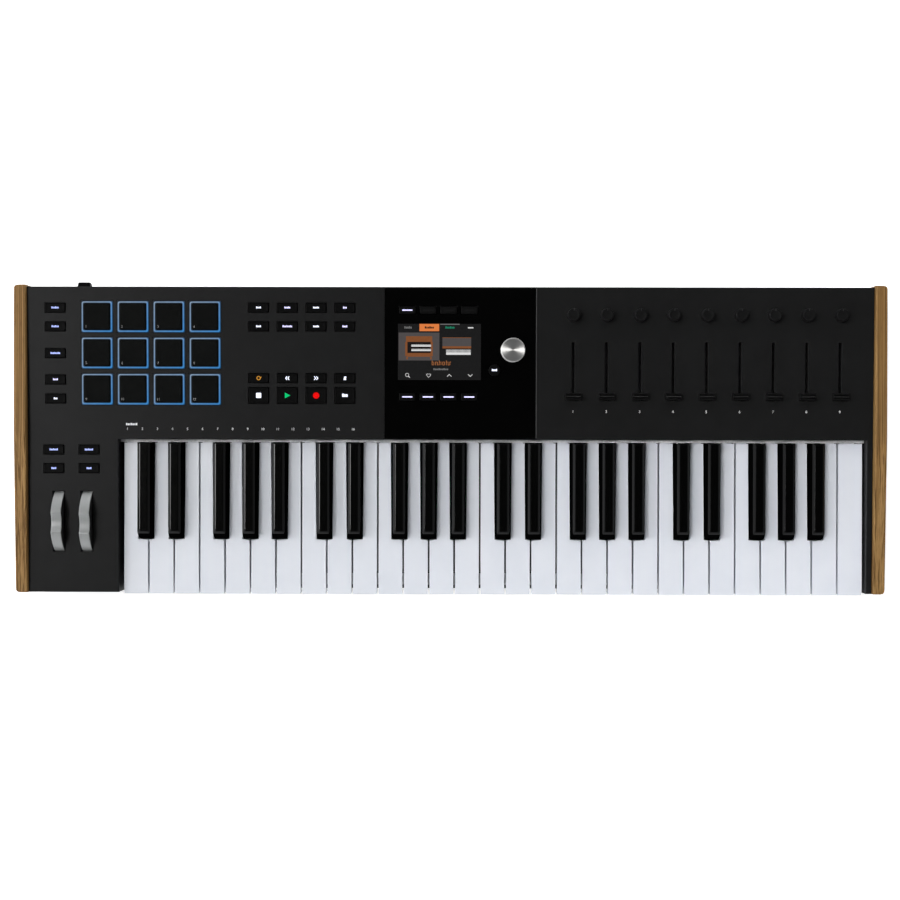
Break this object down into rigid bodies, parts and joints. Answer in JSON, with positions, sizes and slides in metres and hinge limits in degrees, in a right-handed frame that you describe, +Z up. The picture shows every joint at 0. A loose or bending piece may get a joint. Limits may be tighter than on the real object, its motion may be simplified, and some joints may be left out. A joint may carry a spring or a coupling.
{
  "type": "midi keyboard controller",
  "caption": "Compact piano-style controller with wooden end cheeks, lit pads, a central screen, faders, knobs and two side wheels.",
  "frame": {"origin": "under the middle of the instrument, on the surface that it stands on", "axes": "+X towards the treble end, +Y towards the back, +Z up"},
  "size_m": [0.795, 0.2888, 0.0705],
  "materials": {
    "case_black": "fine satin black",
    "tray_black": "matte black",
    "fascia_gloss": "polished black",
    "display": "dark glass over a lit screen",
    "wood": "oiled wood, fine straight grain",
    "rubber": "matte rubber",
    "steel": "zinc plated",
    "frame_plastic": "moulded",
    "felt_grey": "pressed felt",
    "board_green": "solder mask",
    "spring_steel": "drawn wire",
    "light_guide": "translucent, lit blue",
    "component_black": "moulded",
    "socket_black": "moulded",
    "key_white": "satin white",
    "key_black": "satin black",
    "button_black": "soft black",
    "pad_rubber": "fine grained silicone",
    "knob_black": "soft black",
    "wheel_grey": "satin grey",
    "alu_silver": "spun"
  },
  "bodies": {
    "case": {"base_tray": "tray_black", "top_panel": "case_black", "centre_fascia": "fascia_gloss", "display_module": "display", "left_cheek": "wood", "right_cheek": "wood", "rubber_feet": "rubber", "case_screws": "steel", "keybed_frame": "frame_plastic", "key_pivot_rod": "steel", "key_felts": "felt_grey", "key_contact_board": "board_green", "key_return_springs": "spring_steel", "pad_light_frames": "light_guide", "knob_encoders": "component_black", "fader_tracks": "component_black", "wheel_cradle": "frame_plastic", "circuit_boards": "board_green", "pedal_jacks": "socket_black", "midi_sockets": "socket_black", "usb_power_sockets": "socket_black"},
    "keys_c": {"keys_c": "key_white"},
    "keys_cs": {"keys_cs": "key_black"},
    "keys_d": {"keys_d": "key_white"},
    "keys_ds": {"keys_ds": "key_black"},
    "keys_e": {"keys_e": "key_white"},
    "keys_f": {"keys_f": "key_white"},
    "keys_fs": {"keys_fs": "key_black"},
    "keys_g": {"keys_g": "key_white"},
    "keys_gs": {"keys_gs": "key_black"},
    "keys_a": {"keys_a": "key_white"},
    "keys_as": {"keys_as": "key_black"},
    "keys_b": {"keys_b": "key_white"},
    "side_buttons": {"side_buttons": "button_black"},
    "function_buttons": {"function_buttons": "button_black"},
    "screen_buttons": {"screen_buttons": "button_black"},
    "pads": {"pads": "pad_rubber"},
    "power_button": {"power_button": "button_black"},
    "knob_1": {"knob_1": "knob_black"},
    "knob_2": {"knob_2": "knob_black"},
    "knob_3": {"knob_3": "knob_black"},
    "knob_4": {"knob_4": "knob_black"},
    "knob_5": {"knob_5": "knob_black"},
    "knob_6": {"knob_6": "knob_black"},
    "knob_7": {"knob_7": "knob_black"},
    "knob_8": {"knob_8": "knob_black"},
    "knob_9": {"knob_9": "knob_black"},
    "fader_1": {"fader_1": "knob_black"},
    "fader_2": {"fader_2": "knob_black"},
    "fader_3": {"fader_3": "knob_black"},
    "fader_4": {"fader_4": "knob_black"},
    "fader_5": {"fader_5": "knob_black"},
    "fader_6": {"fader_6": "knob_black"},
    "fader_7": {"fader_7": "knob_black"},
    "fader_8": {"fader_8": "knob_black"},
    "fader_9": {"fader_9": "knob_black"},
    "browse_shaft": {"browse_shaft": "steel"},
    "browse_knob": {"browse_knob": "alu_silver"},
    "pitch_wheel": {"pitch_wheel": "wheel_grey"},
    "mod_wheel": {"mod_wheel": "wheel_grey"}
  },
  "joints": [
    {"name": "press_keys_c", "type": "hinge", "parent": "case", "child": "keys_c", "pos_m": [0, 0.018, 0.03], "axis": [1, 0, 0], "range_deg": [0, 3.5], "stiffness_Nm_per_rad": 2.4, "springref_deg": -9.74},
    {"name": "press_keys_cs", "type": "hinge", "parent": "case", "child": "keys_cs", "pos_m": [0, 0.018, 0.03], "axis": [1, 0, 0], "range_deg": [0, 3.2], "stiffness_Nm_per_rad": 2.4, "springref_deg": -9.74},
    {"name": "press_keys_d", "type": "hinge", "parent": "case", "child": "keys_d", "pos_m": [0, 0.018, 0.03], "axis": [1, 0, 0], "range_deg": [0, 3.5], "stiffness_Nm_per_rad": 2.4, "springref_deg": -9.74},
    {"name": "press_keys_ds", "type": "hinge", "parent": "case", "child": "keys_ds", "pos_m": [0, 0.018, 0.03], "axis": [1, 0, 0], "range_deg": [0, 3.2], "stiffness_Nm_per_rad": 2.4, "springref_deg": -9.74},
    {"name": "press_keys_e", "type": "hinge", "parent": "case", "child": "keys_e", "pos_m": [0, 0.018, 0.03], "axis": [1, 0, 0], "range_deg": [0, 3.5], "stiffness_Nm_per_rad": 2.4, "springref_deg": -9.74},
    {"name": "press_keys_f", "type": "hinge", "parent": "case", "child": "keys_f", "pos_m": [0, 0.018, 0.03], "axis": [1, 0, 0], "range_deg": [0, 3.5], "stiffness_Nm_per_rad": 2.4, "springref_deg": -9.74},
    {"name": "press_keys_fs", "type": "hinge", "parent": "case", "child": "keys_fs", "pos_m": [0, 0.018, 0.03], "axis": [1, 0, 0], "range_deg": [0, 3.2], "stiffness_Nm_per_rad": 2.4, "springref_deg": -9.74},
    {"name": "press_keys_g", "type": "hinge", "parent": "case", "child": "keys_g", "pos_m": [0, 0.018, 0.03], "axis": [1, 0, 0], "range_deg": [0, 3.5], "stiffness_Nm_per_rad": 2.4, "springref_deg": -9.74},
    {"name": "press_keys_gs", "type": "hinge", "parent": "case", "child": "keys_gs", "pos_m": [0, 0.018, 0.03], "axis": [1, 0, 0], "range_deg": [0, 3.2], "stiffness_Nm_per_rad": 2.4, "springref_deg": -9.74},
    {"name": "press_keys_a", "type": "hinge", "parent": "case", "child": "keys_a", "pos_m": [0, 0.018, 0.03], "axis": [1, 0, 0], "range_deg": [0, 3.5], "stiffness_Nm_per_rad": 2.4, "springref_deg": -9.74},
    {"name": "press_keys_as", "type": "hinge", "parent": "case", "child": "keys_as", "pos_m": [0, 0.018, 0.03], "axis": [1, 0, 0], "range_deg": [0, 3.2], "stiffness_Nm_per_rad": 2.4, "springref_deg": -9.74},
    {"name": "press_keys_b", "type": "hinge", "parent": "case", "child": "keys_b", "pos_m": [0, 0.018, 0.03], "axis": [1, 0, 0], "range_deg": [0, 3.5], "stiffness_Nm_per_rad": 2.4, "springref_deg": -9.74},
    {"name": "press_side_buttons", "type": "slide", "parent": "case", "child": "side_buttons", "axis": [0, 0.0236, -0.9997], "range_m": [0, 0.0008], "stiffness_N_per_m": 300, "springref_m": -0.002},
    {"name": "press_function_buttons", "type": "slide", "parent": "case", "child": "function_buttons", "axis": [0, 0.0236, -0.9997], "range_m": [0, 0.0008], "stiffness_N_per_m": 400, "springref_m": -0.002},
    {"name": "press_screen_buttons", "type": "slide", "parent": "case", "child": "screen_buttons", "axis": [0, 0.0236, -0.9997], "range_m": [0, 0.0008], "stiffness_N_per_m": 300, "springref_m": -0.002},
    {"name": "press_pads", "type": "slide", "parent": "case", "child": "pads", "axis": [0, 0.0236, -0.9997], "range_m": [0, 0.001], "stiffness_N_per_m": 900, "springref_m": -0.002},
    {"name": "press_power_button", "type": "slide", "parent": "case", "child": "power_button", "axis": [0, -1, 0], "range_m": [0, 0.0015], "stiffness_N_per_m": 300, "springref_m": -0.002},
    {"name": "turn_knob_1", "type": "hinge", "parent": "case", "child": "knob_1", "pos_m": [0.1125, 0.11223, 0.058], "axis": [0, -0.0236, 0.9997], "continuous": true},
    {"name": "turn_knob_2", "type": "hinge", "parent": "case", "child": "knob_2", "pos_m": [0.1429, 0.11223, 0.058], "axis": [0, -0.0236, 0.9997], "continuous": true},
    {"name": "turn_knob_3", "type": "hinge", "parent": "case", "child": "knob_3", "pos_m": [0.1733, 0.11223, 0.058], "axis": [0, -0.0236, 0.9997], "continuous": true},
    {"name": "turn_knob_4", "type": "hinge", "parent": "case", "child": "knob_4", "pos_m": [0.2037, 0.11223, 0.058], "axis": [0, -0.0236, 0.9997], "continuous": true},
    {"name": "turn_knob_5", "type": "hinge", "parent": "case", "child": "knob_5", "pos_m": [0.2341, 0.11223, 0.058], "axis": [0, -0.0236, 0.9997], "continuous": true},
    {"name": "turn_knob_6", "type": "hinge", "parent": "case", "child": "knob_6", "pos_m": [0.2645, 0.11223, 0.058], "axis": [0, -0.0236, 0.9997], "continuous": true},
    {"name": "turn_knob_7", "type": "hinge", "parent": "case", "child": "knob_7", "pos_m": [0.2949, 0.11223, 0.058], "axis": [0, -0.0236, 0.9997], "continuous": true},
    {"name": "turn_knob_8", "type": "hinge", "parent": "case", "child": "knob_8", "pos_m": [0.3253, 0.11223, 0.058], "axis": [0, -0.0236, 0.9997], "continuous": true},
    {"name": "turn_knob_9", "type": "hinge", "parent": "case", "child": "knob_9", "pos_m": [0.3557, 0.11223, 0.058], "axis": [0, -0.0236, 0.9997], "continuous": true},
    {"name": "slide_fader_1", "type": "slide", "parent": "case", "child": "fader_1", "axis": [0, 0.9997, 0.0236], "range_m": [0, 0.045]},
    {"name": "slide_fader_2", "type": "slide", "parent": "case", "child": "fader_2", "axis": [0, 0.9997, 0.0236], "range_m": [0, 0.045]},
    {"name": "slide_fader_3", "type": "slide", "parent": "case", "child": "fader_3", "axis": [0, 0.9997, 0.0236], "range_m": [0, 0.045]},
    {"name": "slide_fader_4", "type": "slide", "parent": "case", "child": "fader_4", "axis": [0, 0.9997, 0.0236], "range_m": [0, 0.045]},
    {"name": "slide_fader_5", "type": "slide", "parent": "case", "child": "fader_5", "axis": [0, 0.9997, 0.0236], "range_m": [0, 0.045]},
    {"name": "slide_fader_6", "type": "slide", "parent": "case", "child": "fader_6", "axis": [0, 0.9997, 0.0236], "range_m": [0, 0.045]},
    {"name": "slide_fader_7", "type": "slide", "parent": "case", "child": "fader_7", "axis": [0, 0.9997, 0.0236], "range_m": [0, 0.045]},
    {"name": "slide_fader_8", "type": "slide", "parent": "case", "child": "fader_8", "axis": [0, 0.9997, 0.0236], "range_m": [0, 0.045]},
    {"name": "slide_fader_9", "type": "slide", "parent": "case", "child": "fader_9", "axis": [0, 0.9997, 0.0236], "range_m": [0, 0.045]},
    {"name": "push_browse", "type": "slide", "parent": "case", "child": "browse_shaft", "axis": [0, 0.0236, -0.9997], "range_m": [0, 0.0006], "stiffness_N_per_m": 900, "springref_m": -0.002},
    {"name": "turn_browse", "type": "hinge", "parent": "browse_shaft", "child": "browse_knob", "pos_m": [0.0573, 0.08004, 0.05724], "axis": [0, -0.0236, 0.9997], "continuous": true},
    {"name": "turn_pitch_wheel", "type": "hinge", "parent": "case", "child": "pitch_wheel", "pos_m": [-0.3583, -0.0771, 0.03373], "axis": [1, 0, 0], "range_deg": [-35, 35], "stiffness_Nm_per_rad": 0.08},
    {"name": "turn_mod_wheel", "type": "hinge", "parent": "case", "child": "mod_wheel", "pos_m": [-0.3326, -0.0771, 0.03373], "axis": [1, 0, 0], "range_deg": [-35, 35]}
  ]
}
